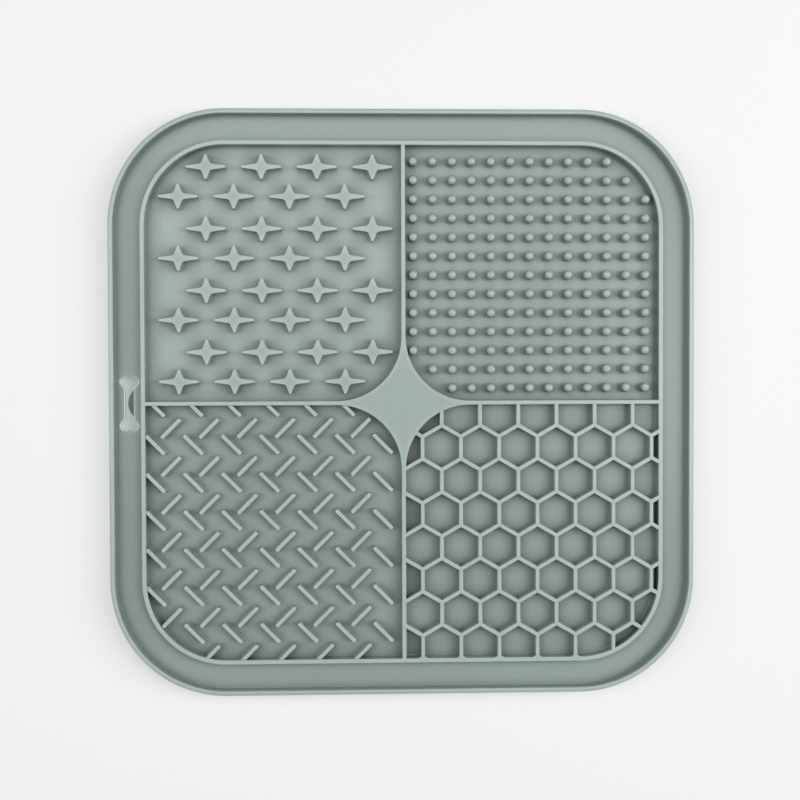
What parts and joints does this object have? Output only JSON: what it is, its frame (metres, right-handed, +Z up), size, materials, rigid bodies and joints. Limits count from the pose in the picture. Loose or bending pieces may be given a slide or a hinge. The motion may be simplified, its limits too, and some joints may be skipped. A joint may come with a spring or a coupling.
{
  "type": "lick mat",
  "caption": "Square silicone lick mat with a rim, textured wells of stars, nubs, herringbone ribs and honeycomb, a bone-shaped hanging hole and suction cups below.",
  "frame": {"origin": "on the surface that the suction cups stand on, under the middle of the mat", "axes": "+Z up out of the wells, +X to the right with the honeycomb front right, +Y to the back"},
  "size_m": [0.2, 0.2, 0.0106],
  "materials": {
    "silicone": "matte grey-green silicone"
  },
  "bodies": {
    "mat": {"base_sheet": "silicone", "centre_plate": "silicone", "cup_stems": "silicone", "divider_back": "silicone", "divider_front": "silicone", "divider_left": "silicone", "divider_right": "silicone", "honeycomb_row_1": "silicone", "honeycomb_row_2": "silicone", "honeycomb_row_3": "silicone", "honeycomb_row_4": "silicone", "honeycomb_row_5": "silicone", "honeycomb_row_6": "silicone", "honeycomb_row_7": "silicone", "honeycomb_row_8": "silicone", "inner_frame": "silicone", "nub_row_01": "silicone", "nub_row_02": "silicone", "nub_row_03": "silicone", "nub_row_04": "silicone", "nub_row_05": "silicone", "nub_row_06": "silicone", "nub_row_07": "silicone", "nub_row_08": "silicone", "nub_row_09": "silicone", "nub_row_10": "silicone", "nub_row_11": "silicone", "nub_row_12": "silicone", "nub_row_13": "silicone", "outer_rim": "silicone", "rib_down_row_1": "silicone", "rib_down_row_2": "silicone", "rib_down_row_3": "silicone", "rib_down_row_4": "silicone", "rib_down_row_5": "silicone", "rib_down_row_6": "silicone", "rib_down_row_7": "silicone", "rib_up_row_1": "silicone", "rib_up_row_2": "silicone", "rib_up_row_3": "silicone", "rib_up_row_4": "silicone", "rib_up_row_5": "silicone", "rib_up_row_6": "silicone", "rib_up_row_7": "silicone", "star_row_1": "silicone", "star_row_2": "silicone", "star_row_3": "silicone", "star_row_4": "silicone", "star_row_5": "silicone", "star_row_6": "silicone", "star_row_7": "silicone", "star_row_8": "silicone"},
    "suction_cups": {"cup_row_1": "silicone", "cup_row_2": "silicone", "cup_row_3": "silicone", "cup_row_4": "silicone", "cup_row_5": "silicone"}
  },
  "joints": [
    {"name": "cup_press", "type": "slide", "parent": "mat", "child": "suction_cups", "axis": [0, 0, 1], "range_m": [0, 0.0014], "stiffness_N_per_m": 4000, "springref_m": -0.001, "deforming": ["cup_row_1", "cup_row_2", "cup_row_3", "cup_row_4", "cup_row_5"]}
  ]
}
